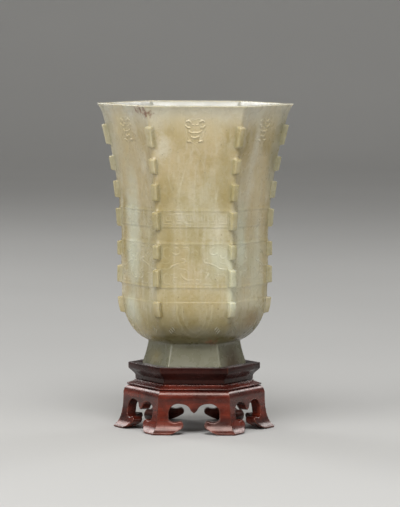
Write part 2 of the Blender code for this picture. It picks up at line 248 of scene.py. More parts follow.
jadeLooks = {
    "body": (0.490, 0.398, 0.222),
    "olive": (0.315, 0.240, 0.078),
    "pale": (0.620, 0.580, 0.450),
    "green": (0.440, 0.415, 0.270),
    # moss: painted shade laid on the flange blocks to take back the light they catch
    "blockShade": (0.335, 0.310, 0.170),
    "rim": (0.600, 0.590, 0.500),
    "bowl": (0.092, 0.078, 0.028),
    # amber: painted light, the warm glow on the bowl's lit left side
    "amber": (0.460, 0.360, 0.140),
    "foot": (0.205, 0.200, 0.140),
    "russet": (0.190, 0.078, 0.036),
    "honey": (0.230, 0.150, 0.040),
    # fresh: a painted glint, near white, on the tallest carved strokes
    "paintedGlint": (0.800, 0.790, 0.680),
    "speck": (0.120, 0.070, 0.035),
    "cream": (0.600, 0.500, 0.290),
    # painted sheen: pale light and reflection laid on the sides of the cup
    "paintedSheen": (0.610, 0.620, 0.480),
    # inside: painted shade, the inside of the cup greyer and darker
    "inside": (0.395, 0.390, 0.335),
    # umber: painted shadow on the right of the cup's foot
    "umber": (0.085, 0.055, 0.025),
    "veils": (  # noise over the whole stone: stretch, offset, scale, detail, low, high, amount, colour
        ((1.0, 1.0, 0.6), (0.9, 0.2, 0.4), 30.0, 3.0, 0.40, 0.62, 0.60, "green"),
        ((1.0, 1.0, 1.0), (0.0, 0.0, 0.0), 42.0, 5.0, 0.47, 0.68, 0.85, "olive"),
        ((1.0, 1.0, 0.18), (0.0, 0.0, 0.0), 120.0, 3.0, 0.52, 0.74, 0.75, "pale"),
        ((1.0, 1.0, 0.5), (0.3, 0.1, 0.7), 75.0, 6.0, 0.50, 0.75, 0.75, "pale"),
        ((1.0, 1.0, 0.07), (0.0, 0.0, 0.0), 620.0, 2.0, 0.45, 0.72, 0.32, "pale"),
        ((1.0, 1.0, 1.0), (0.0, 0.0, 0.0), 800.0, 3.0, 0.42, 0.66, 0.24, "olive"),
    ),
    "levels": (  # heights in metres where a colour starts and is fullest, its amount, the colour
        # the bowl darker towards the foot: olive-brown where the stone is thick, and painted shade under the
        # bowl
        (0.061, 0.041, 0.9, "bowl"),
        (0.0405, 0.0385, 0.8, "foot"),
        # painted light: paler over the top of the cup, outside and in
        (0.133, 0.1464, 0.6, "rim"),
    ),
    "lowLeft": (-0.012, -0.026),  # metres: painted light, a warm amber glow on the bowl's lit left side, across and up
    "lowLeftHeights": (0.062, 0.046),
    "lowLeftFoot": (0.0385, 0.0405),
    "specks": ((190.0, 0.86, 0.085), (420.0, 0.80, 0.17)),  # scale, rarity and size: a few large, many tiny
    "polish": (0.24, 0.36),
    "drifts": (  # clouds of this stone, and patches of painted light and shade: middle and reach in mm, colour, strength
        # painted reflection: the pale streak of a tall light down the left side
        ((-28.5, -11.5, 86.0), (9.0, 11.0, 46.0), "paintedSheen", 0.80),
        ((-18.5, -29.0, 97.0), (4.0, 8.0, 36.0), "olive", 0.55),
        ((-13.0, -30.0, 90.0), (7.5, 10.0, 46.0), "olive", 0.75),
        # painted highlight: pale light beside the right front flange
        ((11.0, -30.0, 78.0), (10.0, 10.0, 14.0), "paintedSheen", 0.60),
        ((13.5, -31.0, 116.0), (6.5, 10.0, 26.0), "olive", 0.70),
        ((0.0, -32.0, 59.0), (24.0, 14.0, 9.0), "olive", 0.45),
        ((-31.0, -13.0, 139.0), (16.0, 18.0, 17.0), "cream", 0.65),
        ((29.0, -14.0, 139.0), (16.0, 18.0, 17.0), "cream", 0.50),
        # painted light: a pale patch where light falls on the right side
        ((28.0, -12.0, 72.0), (13.0, 15.0, 34.0), "paintedSheen", 0.50),
        ((28.0, -14.0, 110.0), (11.0, 14.0, 22.0), "cream", 0.35),
        # painted highlight: light caught by the right front flange's blocks, in this line and the next
        ((17.5, -30.5, 66.0), (6.0, 9.0, 30.0), "paintedSheen", 0.85),
        ((20.5, -22.5, 83.0), (7.0, 9.0, 27.0), "paintedSheen", 0.75),
        # painted reflection: the lower end of the left side's pale streak
        ((-28.5, -9.5, 53.5), (8.5, 13.0, 10.5), "paintedSheen", 0.85),
        # painted shade: the left and right flanks of the cup darker, the right one more, away from the light
        ((-40.0, 0.0, 92.0), (12.0, 18.0, 110.0), "foot", 0.45),
        ((40.0, 0.0, 92.0), (12.0, 18.0, 110.0), "foot", 0.75),
        ((0.0, -38.0, 136.0), (24.0, 12.0, 12.0), "cream", 0.55),
        ((0.0, 0.0, 51.0), (62.0, 62.0, 9.0), "olive", 0.35),
        ((26.0, -13.0, 49.5), (9.0, 14.0, 8.0), "honey", 0.80),
        # painted shadow: the right of the cup's foot darker brown
        ((19.0, -14.0, 31.0), (10.0, 16.0, 14.0), "umber", 0.90),
        # painted light: more of the warm glow on the bowl's lower left
        ((-20.0, -11.0, 33.5), (9.0, 12.0, 7.5), "amber", 0.35),
    ),
    "stains": (  # russet skin left on the stone: middle in mm, and how small
        ((-25.5, -34.5, 144.2), (150.0, 150.0, 380.0)),
        ((-22.5, -37.0, 142.8), (230.0, 230.0, 420.0)),
        ((7.5, -21.0, 40.5), (260.0, 260.0, 420.0)),
    ),
}


def farFrom(tree, place, middle, smallness):  # distance from a spot, squeezed along each axis
    spot = addNode(tree, "ShaderNodeVectorMath", {"operation": "SUBTRACT"}, n0=place,
                   n1=tuple(c * mm for c in middle)).outputs[0]
    return addNode(tree, "ShaderNodeVectorMath", {"operation": "LENGTH"},
                   n0=stretched(tree, spot, smallness)).outputs["Value"]


def makeJade(name, glow):
    looks = jadeLooks
    material, tree, shader = newMaterial(name)
    place = addNode(tree, "ShaderNodeTexCoord").outputs["Object"]
    axes = addNode(tree, "ShaderNodeSeparateXYZ", Vector=place).outputs
    across, height = axes["X"], axes["Z"]
    carving = attribute(tree, "carving")

    colour = looks["body"]
    for stretch, offset, scale, detail, low, high, amount, tint in looks["veils"]:
        veil = cloud(tree, stretched(tree, place, stretch, offset), scale, detail, low, high)
        colour = glaze(tree, colour, veil, amount, looks[tint])

    # colours by height: the foot's grey-green, painted shade with olive-brown on the bowl, painted light
    # towards the rim
    for low, high, amount, tint in looks["levels"]:
        colour = glaze(tree, colour, ramp(tree, height, low, high), amount, looks[tint])
    # painted light: a warm glow on the lit left side of the bowl
    lowLeft = ramp(tree, across, *looks["lowLeft"])
    lowLeft = sums(tree, "MULTIPLY", lowLeft, ramp(tree, height, *looks["lowLeftHeights"]))
    aboveFoot = ramp(tree, height, *looks["lowLeftFoot"], 0.0, 0.75)
    colour = glaze(tree, colour, lowLeft, aboveFoot, looks["amber"])

    ragged = addNode(tree, "ShaderNodeTexNoise", Vector=place, Scale=95.0, Detail=4.0).outputs["Fac"]
    # drifts: clouds of the stone, with patches of painted light and shade among them
    for middle, reach, tint, strength in looks["drifts"]:
        edge = farFrom(tree, place, middle, tuple(1 / (mm * r) for r in reach))
        edge = sums(tree, "ADD", edge, sums(tree, "MULTIPLY", ragged, 0.9))
        colour = mixColour(tree, ramp(tree, edge, 1.35, 0.55, 0.0, strength), colour, looks[tint])

    wander = addNode(tree, "ShaderNodeTexNoise", Vector=place, Scale=620.0, Detail=5.0).outputs["Fac"]
    for middle, smallness in looks["stains"]:
        reach = farFrom(tree, place, middle, smallness)
        reach = sums(tree, "ADD", reach, sums(tree, "MULTIPLY", wander, 3.4))
        colour = mixColour(tree, ramp(tree, reach, 2.75, 1.75, 0.0, 0.92), colour, looks["russet"])

    for scale, share, size in looks["specks"]:
        dots = addNode(tree, "ShaderNodeTexVoronoi", {"feature": "F1"}, Vector=place, Scale=scale)
        rare = addNode(tree, "ShaderNodeSeparateXYZ", Vector=dots.outputs["Color"]).outputs["X"]
        rare = ramp(tree, rare, share, share + 0.04)
        dot = sums(tree, "MULTIPLY", ramp(tree, dots.outputs["Distance"], size, 0.5 * size), rare)
        colour = glaze(tree, colour, dot, 0.45, looks["speck"])

    worn = cloud(tree, place, 160.0, 4.0, 0.35, 0.7)
    held = sums(tree, "MULTIPLY", attribute(tree, "patina"), ramp(tree, worn, 0.0, 1.0, 0.35, 1.0))
    colour = glaze(tree, colour, held, 0.06, looks["olive"])
    # painted shade: the flange blocks darkened against the light they catch
    colour = glaze(tree, colour, attribute(tree, "blocks"), 0.34, looks["blockShade"])
    # raised strokes a little paler: worn high points, with painted highlight on them
    colour = glaze(tree, colour, carving, 0.07, looks["rim"])
    # painted highlight: glints whitened onto the tallest strokes
    glintShare = ramp(tree, carving, 1.25, 1.85)
    colour = glaze(tree, colour, glintShare, 0.45, looks["paintedGlint"])
    # painted shade: the inside of the cup darkened
    colour = glaze(tree, colour, attribute(tree, "inner"), 0.85, looks["inside"])

    grain = addNode(tree, "ShaderNodeTexNoise", Vector=place, Scale=1500.0, Detail=3.0)
    bump = addNode(tree, "ShaderNodeBump", Height=grain.outputs["Fac"], Strength=0.06, Distance=0.0002)
    wire(tree, shader, Base_Color=colour, Roughness=ramp(tree, worn, 0.0, 1.0, *looks["polish"]),
         Normal=bump.outputs[0], Subsurface_Weight=glow, Subsurface_Radius=(1.0, 0.92, 0.7),
         Subsurface_Scale=0.002, IOR=1.6)
    return material


# dark reddish hardwood, its figure running along each piece

woodLooks = {
    "heart": (0.056, 0.008, 0.005),
    "dark": (0.009, 0.003, 0.003),
    "warm": (0.150, 0.022, 0.011),
    "worn": (0.190, 0.062, 0.036),
    "sheen": (1.0, 0.70, 0.61, 1.0),
    "rub": 0.6,
    "poreShade": 0.45,
    "poreDull": 0.08,
    "poreBump": 0.08,
}


def makeFigureGroup():
    group, inlet, outlet = newGroup("woodFigure", ("Vector",), ("Bands", "Pores"))
    along = inlet.outputs["Vector"]
    broad = addNode(group, "ShaderNodeTexNoise", Vector=stretched(group, along, (35.0, 260.0, 260.0)),
                    Scale=1.0, Detail=4.0, Distortion=0.6)
    hair = addNode(group, "ShaderNodeTexNoise", Vector=stretched(group, along, (140.0, 2600.0, 2600.0)),
                   Scale=1.0, Detail=2.0)
    wire(group, outlet, Bands=ramp(group, broad.outputs["Fac"], 0.36, 0.66),
         Pores=ramp(group, hair.outputs["Fac"], 0.54, 0.70))
    return group


woodFigure = makeFigureGroup()


def makeWood(name, polish, depth, shade, lustre, follows="grain"):
    looks = woodLooks
    material, tree, shader = newMaterial(name)
    place = addNode(tree, "ShaderNodeTexCoord").outputs["Object"]
    along = place
    if follows:
        along = attribute(tree, follows, "Vector")
    figure = addNode(tree, "ShaderNodeGroup", {"node_tree": woodFigure}, Vector=along).outputs
    colour = mixColour(tree, figure["Bands"], looks["heart"], looks["warm"])
    colour = glaze(tree, colour, figure["Pores"], looks["poreShade"], looks["dark"])
    blotch = cloud(tree, place, 90.0, 3.0, 0.4, 0.7)
    colour = glaze(tree, colour, ramp(tree, blotch, 0.0, 1.0), depth, looks["dark"])
    # shade: painted shade, the whole piece darkened towards the darkest wood
    colour = mixColour(tree, shade, colour, looks["dark"])
    rubbed = cloud(tree, place, 260.0, 4.0, 0.35, 0.65)
    shine = sums(tree, "MULTIPLY", attribute(tree, "wear"), ramp(tree, rubbed, 0.0, 1.0, 0.35, 1.0))
    colour = glaze(tree, colour, shine, looks["rub"], looks["worn"])
    dull = sums(tree, "MULTIPLY", figure["Pores"], looks["poreDull"])
    gloss = sums(tree, "ADD", ramp(tree, rubbed, 0.0, 1.0, polish, polish + 0.1), dull)
    bump = addNode(tree, "ShaderNodeBump", Height=figure["Pores"], Strength=looks["poreBump"],
                   Distance=-0.0001)
    wire(tree, shader, Base_Color=colour, Roughness=gloss, Normal=bump.outputs[0], Specular_IOR_Level=lustre,
         Specular_Tint=looks["sheen"], Coat_Weight=0.3 * lustre, Coat_Roughness=0.12)
    return material


jade = makeJade("palePolishedJade", glow=0.60)
reliefJade = makeJade("carvedJade", glow=0.0)  # thin relief, with no depth for light to wander in
standWood = makeWood("polishedRedwood", polish=0.22, depth=0.55, shade=0.0, lustre=0.51)
rimWood = makeWood("darkRedwood", polish=0.24, depth=0.7, shade=0.84, lustre=0.22)  # stained deeper in blotches, and darkened all over with painted shade
keyWood = makeWood("plainRedwood", polish=0.55, depth=0.2, shade=0.0, lustre=0.3, follows=None)
print("finishes mixed")


# the cup: a dense tube wrapped to the carved shape

cup = {
    "base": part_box("jade_cup")[0].z,
    "height": 118.5,
    "mouth": 44.6,
    "lipFlick": 1.2,
    "lipHeight": 5.0,
    "flareStart": 51.0,
    "body": 33.0,
    "bowlDepth": 21.6,
    "bowlReach": 12.8,
    "bowlTurn": math.radians(78),
    "neck": 20.8,
    "footHeight": 11.5,
    "foot": 24.0,
    "footSweep": 1.4,
    "wall": 3.0,
    "floor": 4.5,
    "footRing": 3.4,
    "recess": 2.5,
    "footRound": 0.03,
    "bowlRound": 0.60,
    "bodyRound": 0.10,
    "mouthRound": 0.06,
    "columns": 40,  # across one flat side
    "wallFoot": 22.0,  # evenly spaced rows start here, above the rows of the bowl
    "lipRound": 0.9,
    "bowlGap": 0.8,  # between rows of the skin, on the bowl and above it
    "wallGap": 1.0,
    "footFillet": 0.5,
    "bowlFillet": 2.4,
    "bodyFillet": 1.5,
    "filletHeights": (22, 34),
    "patinaHeights": (33.0, 36.0),
    "patinaByCorner": 0.7,
    "patinaReach": 1.6,
    "patinaInBand": 0.2,
}

flange = {
    "foot": 24.2,
    "drop": 9.6,
    "blocks": ((0.0, 0.083), (0.161, 0.25), (0.305, 0.38), (0.459, 0.554), (0.612, 0.70), (0.756, 0.832),
               (0.894, 1.0)),
    # where a corner's columns lie between blocks, and then on a block
    "gapSpread": (1.90, 1.66, 1.42, 1.16, 0.88, 0.55),
    "section": (None, (1.58, -0.84), (1.50, 0.10), (1.50, 1.16), (1.38, 1.48), (1.08, 1.60)),
    "proud": 1.60,
    "edge": ((-0.12, 0.0), (0.0, 0.72), (0.15, 0.93), (0.42, 1.0)),  # how a block rises from the wall
}

bands = {
    "lappets": (9.0, 31.1, 0.11),  # foot, top and how far it stands out
    "masks": (37.2, 57.4, 0.30),
    "fret": (64.1, 72.1, 0.22),
    "border": 0.16,
    "borderWidth": 0.55,
    "borderInset": 0.5,
    "edge": 0.2,  # half the width of a band's slope
    "plainBelow": 20.0,  # no border line and no extra rows under this height
}
bandNames = ("lappets", "masks", "fret")


def outerRadius(h):
    flare = cup["mouth"] - cup["lipFlick"] - cup["body"]
    opening = max(0.0, (h - cup["flareStart"]) / (cup["height"] - cup["flareStart"]))
    flick = max(0.0, (h - cup["height"] + cup["lipHeight"]) / cup["lipHeight"])
    return cup["body"] + flare * opening**2 + cup["lipFlick"] * flick**2


def bowlReach(angle):
    return cup["bowlReach"] * (1 - math.cos(angle)) / (1 - math.cos(cup["bowlTurn"]))


def wallRadius(h):
    bowlTop = cup["footHeight"] + cup["bowlDepth"]
    if h >= bowlTop:
        return outerRadius(h)
    drop = min(1.0, (bowlTop - h) / cup["bowlDepth"])
    return cup["body"] - bowlReach(math.asin(drop * math.sin(cup["bowlTurn"])))


def wallRoundness(h):
    bowlTop = cup["footHeight"] + cup["bowlDepth"]
    if h < bowlTop:
        drop = min(1.0, (bowlTop - h) / cup["bowlDepth"])
        return cup["bodyRound"] + (cup["bowlRound"] - cup["bodyRound"]) * drop
    share = (h - bowlTop) / (cup["height"] - bowlTop)
    return cup["bodyRound"] + (cup["mouthRound"] - cup["bodyRound"]) * share


def easeStep(x, low, high):
    t = np.clip((x - low) / (high - low), 0, 1)
    return t * t * (3 - 2 * t)


def bandRise(h):  # raised bands and their border lines, the same all round the cup
    rise = 0.0
    edge, inset = bands["edge"], bands["borderInset"]
    for name in bandNames:
        low, high, proud = bands[name]
        rise += proud * easeStep(h, low - edge, low + edge) * (1 - easeStep(h, high - edge, high + edge))
        for line in (low + inset, high - inset):
            near = max(0.0, 1 - abs(h - line) / bands["borderWidth"])
            strength = 1.0 if name != "lappets" else 0.5 * (line > bands["plainBelow"])
            rise += bands["border"] * near * near * (3 - 2 * near) * strength
    return rise


def flangeBlocks():
    length = cup["height"] - flange["drop"] - flange["foot"]
    return [(flange["foot"] + low * length, flange["foot"] + high * length) for low, high in flange["blocks"]]


def wallHeights():  # rows up the outside, closer where there is carving, with how far a block stands there
    marks = {}
    for low, high in flangeBlocks():
        for step, amount in flange["edge"]:
            marks[low + step] = amount
            marks[high - step] = amount
    for name in bandNames:
        for edge in bands[name][:2]:
            if edge > bands["plainBelow"]:
                marks.setdefault(edge - bands["edge"], None)
                marks.setdefault(edge + bands["edge"], None)
    marks[cup["wallFoot"]] = 0.0
    marks[cup["height"] - cup["lipRound"]] = 0.0
    rows = []
    ordered = sorted(marks)
    for low, high in zip(ordered, ordered[1:]):
        spacing = cup["bowlGap"] if (low + high) / 2 < bands["lappets"][1] else cup["wallGap"]
        count = max(1, math.ceil((high - low) / spacing))
        rows += [low + (high - low) * i / count for i in range(count)]
    rows.append(ordered[-1])
    amounts = []
    for h in rows:
        amount = marks.get(h)
        if amount is None:
            amount = float(any(low < h < high for low, high in flangeBlocks()))
        amounts.append(amount)
    return list(zip(rows, amounts))


# each row of the skin: height, corner radius, roundness, corner fillet, block amount, outside or not
def cupRows():
    rows = []
    deep, foot = cup["recess"], cup["foot"]
    recess = foot - cup["footRing"] / cos30
    under = ((deep, 4.0), (deep, 12.0), (deep, recess - 1.2), (deep - 0.12, recess - 0.5),
             (deep - 0.5, recess - 0.12), (0.5, recess), (0.12, recess + 0.12), (0.0, recess + 0.5),
             (0.0, foot - 0.55), (0.1, foot - 0.18))
    for h, r in under:
        rows.append((h, r, cup["footRound"], cup["footFillet"], 0.0, 0))
    for h in (0.45, 1.6, 3.2, 4.8, 6.4, 8.0, 9.4, 10.4, 11.0):
        spread = (foot - cup["neck"]) * (1 - h / cup["footHeight"]) ** cup["footSweep"]
        rows.append((h, cup["neck"] + spread, cup["footRound"], cup["footFillet"], 0.0, 0))
    rows.append((cup["footHeight"] - 0.12, cup["neck"] + 0.04, cup["footRound"] + 0.04, 0.7, 0.0, 0))
    rows.append((cup["footHeight"] + 0.02, cup["neck"] + 0.30, 0.22, 1.2, 0.0, 0))
    bowlTop = cup["footHeight"] + cup["bowlDepth"]
    for angle in np.radians(np.linspace(75, 31.5, 20)):
        h = bowlTop - cup["bowlDepth"] * math.sin(angle) / math.sin(cup["bowlTurn"])
        rows.append((h, wallRadius(h) + bandRise(h), wallRoundness(h), cup["bowlFillet"], 0.0, 1))
    for h, amount in wallHeights():
        share = float(easeStep(h, *cup["filletHeights"]))
        fillet = cup["bowlFillet"] + (cup["bodyFillet"] - cup["bowlFillet"]) * share
        rows.append((h, wallRadius(h) + bandRise(h), wallRoundness(h), fillet, amount, 1))
    top, outer = cup["height"], cup["mouth"]
    inner = outer - cup["wall"] / cos30
    for drop, inset in ((0.45, 0.06), (0.2, 0.2), (0.05, 0.5), (0.0, 0.95)):
        rows.append((top - drop, outer - inset, cup["mouthRound"], cup["bodyFillet"], 0.0, 0))
    for drop, inset in ((0.0, 0.95), (0.05, 0.5), (0.2, 0.2), (0.5, 0.04)):
        rows.append((top - drop, inner + inset, cup["mouthRound"], 1.8, 0.0, 0))
    for h in np.linspace(top - 1.6, bowlTop, 14):
        rows.append((h, outerRadius(h) - cup["wall"] / cos30, wallRoundness(h), 2.0, 0.0, 0))
    for angle in np.linspace(0.1, 1.0, 11) * cup["bowlTurn"]:
        drop = math.sin(angle) / math.sin(cup["bowlTurn"])
        roundness = cup["bodyRound"] + (cup["bowlRound"] - cup["bodyRound"]) * drop
        depth = (cup["bowlDepth"] - cup["floor"]) * drop
        radius = cup["body"] - cup["wall"] / cos30 - bowlReach(angle)
        rows.append((bowlTop - depth, radius, roundness, cup["bowlFillet"], 0.0, 0))
    floor = cup["footHeight"] + cup["floor"]
    for r in (13.0, 8.5, 4.0):
        rows.append((floor, r, cup["bowlRound"], 1.2, 0.0, 0))
    return rows


# carved lines: each a stroke on the right half of a side, mirrored to the left

def maskStrokes():  # animal mask in hooked lines, u from the middle of the side, v up from the frieze's foot
    hooks = (
        ([(0.0, 5.2), (0.0, 10.6)], 0.7, 0.45),  # ridge of the nose
        ([(0.0, 14.0), (1.3, 15.5), (0.0, 17.0)], 0.5, 0.7),
        ([(0.5, 2.0), (1.9, 2.1), (2.4, 2.9)], 0.45, 0.7),
        ([(14.6, 8.6), (11.4, 8.7), (9.2, 10.0), (6.4, 11.2), (4.6, 11.5), (4.2, 12.8), (5.6, 13.2)],
         0.5, 1.2),  # brow
        ([(0.9, 3.7), (3.4, 3.8), (5.3, 4.9), (6.1, 6.4)], 0.5, 1.1),  # cheek
        ([(2.5, 7.0), (4.0, 8.4), (6.6, 8.6), (8.2, 7.6)], 0.40, 0.55),
        ([(4.4, 7.1), (5.9, 7.2)], 0.5, 0.65),
        ([(2.6, 14.4), (2.6, 17.9), (5.2, 18.2)], 0.45, 0.8),  # horn
        ([(8.7, 18.0), (7.0, 17.6), (6.7, 15.7), (8.3, 14.9), (9.6, 15.6)], 0.5, 1.0),
        ([(11.7, 18.2), (13.6, 17.5), (13.9, 14.6), (12.3, 13.3), (11.2, 14.4)], 0.5, 0.9),
        ([(10.2, 12.6), (12.0, 11.2), (13.9, 11.2)], 0.45, 0.7),
        ([(3.6, 2.0), (8.4, 1.9), (9.6, 3.0), (9.2, 4.5), (7.5, 4.5)], 0.45, 0.8),  # jaw
        ([(11.3, 2.0), (13.4, 2.3), (13.9, 4.8), (12.8, 6.5), (11.4, 5.9)], 0.5, 0.9),
        ([(8.6, 6.4), (10.4, 6.1)], 0.45, 0.7),
        ([(4.0, 19.4), (5.6, 19.4)], 0.35, 0.6),
        ([(6.6, 19.4), (8.2, 19.4)], 0.35, 0.6),
    )
    return [(swingPoints(line, 4), width, tall) for line, width, tall in hooks]


def fretStrokes():  # squared spirals in a row
    spiral = [(-1.75, -2.1), (1.75, -2.1), (1.75, 2.1), (-1.75, 2.1), (-1.75, -0.75), (0.45, -0.75),
              (0.45, 0.85)]
    strokes = []
    for middle in (2.5, 7.5, 12.2):
        strokes.append(([(middle + u, 4.0 + v) for u, v in spiral], 0.42, 1.0))
    return strokes


def bladeStrokes():  # upright plantain blade in the middle of the side
    return [
        (swingPoints([(7.4, 0.4), (6.8, 8.0), (5.0, 16.0), (2.5, 23.4), (0.0, 28.0)], 6), 0.6, 1.0),
        (swingPoints([(5.2, 0.4), (4.7, 8.0), (3.2, 15.2), (1.4, 21.0), (0.0, 24.4)], 6), 0.5, 0.6),
        ([(0.0, 0.8), (0.0, 20.0)], 0.6, 0.8),
    ]


def cornerBladeStrokes():  # the blades between, u counted from the corner
    return [
        (swingPoints([(8.6, 0.4), (7.6, 8.0), (5.8, 15.0), (3.4, 21.0)], 6), 0.6, 1.0),
        (swingPoints([(6.2, 0.4), (5.4, 7.6), (4.0, 14.0)], 6), 0.5, 0.6),
    ]


def crestStrokes():  # small cicada under the rim
    return [
        (swingPoints([(0.0, 0.0), (2.5, 2.2), (4.1, 6.0), (3.8, 9.6), (1.6, 11.4), (0.0, 11.0)], 6),
         0.4, 0.22),  # outline
        ([(1.7, 1.3), (3.2, 1.6)], 0.48, 1.0),
        (swingPoints([(0.0, 3.0), (0.7, 3.1), (1.4, 3.5)], 4), 0.55, 1.0),
        (swingPoints([(0.3, 5.3), (1.3, 5.2), (2.6, 5.9)], 4), 0.48, 0.9),
        (swingPoints([(2.3, 7.6), (3.3, 7.7), (4.2, 8.4)], 4), 0.48, 1.0),
        (swingPoints([(0.5, 8.6), (1.2, 8.9)], 4), 0.42, 0.6),
        (swingPoints([(2.0, 10.0), (3.0, 10.7), (3.9, 10.3)], 4), 0.48, 1.0),
    ]


def lappetStrokes():  # hanging leaf on the bowl, v from the foot of the cup
    return [
        (swingPoints([(7.6, 29.6), (7.3, 25.0), (5.7, 20.0), (3.0, 16.4), (0.0, 14.6)], 6), 0.6, 0.4),
        (swingPoints([(5.4, 29.2), (5.1, 25.0), (3.9, 21.0), (2.0, 18.3), (0.0, 17.0)], 6), 0.5, 0.3),
    ]


def hatchStrokes():  # short slanting cuts beside the leaf
    steps = [0.7 * i for i in range(3)]
    # tall enough that the painted glint in the material lies on them
    return [([(8.4 + step, 18.2 - step), (9.6 + step, 19.6 - step)], 0.22, 1.9) for step in steps]


carvings = {  # strokes, where v starts, depth, patch half width, foot, top and mesh size, all in mm
    "mask": (((maskStrokes, False),), bands["masks"][0], 0.17, 14.9, 0.6, 19.9, 0.20),
    "fret": (((fretStrokes, False),), bands["fret"][0], 0.13, 14.6, 0.6, 7.5, 0.20),
    "blade": (((bladeStrokes, False), (cornerBladeStrokes, True)), 72.4, 0.09, 15.4, 0.0, 28.6, 0.34),
    "crest": (((crestStrokes, False),), 101.2, 0.46, 4.9, -0.8, 12.3, 0.17),
    "lappet": (((lappetStrokes, False), (hatchStrokes, False)), 0.0, 0.22, 11.8, 14.6, 30.4, 0.17),
}
cutIn = 0.04  # the ground of a patch lies this far under the skin, so only its strokes show
patchThickness = 0.4
clearOfCorner = 2.5
strokeFlat = 0.45  # shares of a stroke's width: its flat top, and where its slope ends
strokeFoot = 1.05
handWaver = {  # as if cut by hand: how far, how often along a line, and how far each side is ahead
    "sway": (0.10, 0.55, 1.7),
    "slant": (0.07, 0.9, 2.3),
    "lift": (0.08, 0.7, 1.0),
}
rubbedByUse = ("mask", "fret", "blade")


def waver(kind, along, side):
    amount, often, ahead = handWaver[kind]
    return amount * np.sin(often * along + ahead * side)


def strokeHeight(points, u, v):  # tallest stroke at each place, soft-sided
    tallest = np.zeros_like(u)
    for line, width, tall in points:
        path = np.array(line, float)
        box = (path.min(0) - width, path.max(0) + width)
        near = (u > box[0][0]) & (u < box[1][0]) & (v > box[0][1]) & (v < box[1][1])
        if not near.any():
            continue
        pu, pv = u[near], v[near]
        best = np.full(pu.shape, 1e9)
        for start, end in zip(path, path[1:]):
            run = end - start
            du, dv = pu - start[0], pv - start[1]
            along = np.clip((du * run[0] + dv * run[1]) / max(run @ run, 1e-9), 0, 1)
            best = np.minimum(best, np.hypot(du - along * run[0], dv - along * run[1]))
        rise = tall * (1 - easeStep(best, strokeFlat * width, strokeFoot * width))
        tallest[near] = np.maximum(tallest[near], rise)
    return tallest


def cornerDrop(t, fillet):  # how far a rounded corner lies inside the sharp one
    arc = fillet * (1 / cos30 - 1) + fillet - np.sqrt(np.maximum(fillet**2 - t**2, 0))
    return np.where(np.abs(t) < fillet / 2, arc, np.abs(t) * tan30)


def placeCup():
    rows = np.array(cupRows(), float)
    h, radius, roundness, fillet, amount, outside = (rows[:, i:i + 1] for i in range(6))
    upright = outside * easeStep(h, *cup["patinaHeights"])
    spread = flange["gapSpread"]
    around = []
    heldShown = []
    # where the blocks stand, for the painted shade that darkens them
    blockShown = []

    def cornerPoint(corner, t):
        out = np.array((math.cos(corner * turn), math.sin(corner * turn)))
        along = np.array((-out[1], out[0]))
        return (radius - cornerDrop(np.array(t), fillet)) * out + t * along, out, along

    def rounded(point):
        distance = np.maximum(np.linalg.norm(point, axis=1, keepdims=True), 1e-6)
        return point * (1 + roundness * (radius / distance - 1))

    def cornerColumn(corner, index, way):
        t = 0.0 if index is None else way * spread[index]
        point, out, along = cornerPoint(corner, t)
        point = rounded(point)
        section = (0.0, flange["proud"]) if index is None else flange["section"][index]
        if section is not None:
            block = (radius + section[1]) * out + way * section[0] * along
            point = point + amount * (block - point)
        around.append(np.hstack((point, h)))
        heldShown.append(((1 - amount) * upright)[:, 0])
        blockShown.append((amount * upright)[:, 0])

    for side in range(sides):
        cornerColumn(side, None, 1)
        for index in range(len(spread) - 1, -1, -1):
            cornerColumn(side, index, 1)
        start = cornerPoint(side, spread[0])[0]
        end = cornerPoint(side + 1, -spread[0])[0]
        length = np.linalg.norm(end - start, axis=1, keepdims=True)
        for share in np.arange(1, cup["columns"]) / cup["columns"]:
            around.append(np.hstack((rounded(start + (end - start) * share), h)))
            fromCorner = min(share, 1 - share) * length[:, 0]
            inBand = (h[:, 0] > bands["masks"][0]) & (h[:, 0] < bands["masks"][1])
            nearCorner = cup["patinaByCorner"] * np.exp(-fromCorner / cup["patinaReach"]) * (1 - amount[:, 0])
            heldShown.append(upright[:, 0] * (cup["patinaInBand"] * inBand + nearCorner))
            blockShown.append(np.zeros(len(rows)))
        for index in range(len(spread)):
            cornerColumn(side + 1, index, -1)
    return np.stack(around, 1) * mm, {"patina": np.stack(heldShown, 1), "blocks": np.stack(blockShown, 1)}


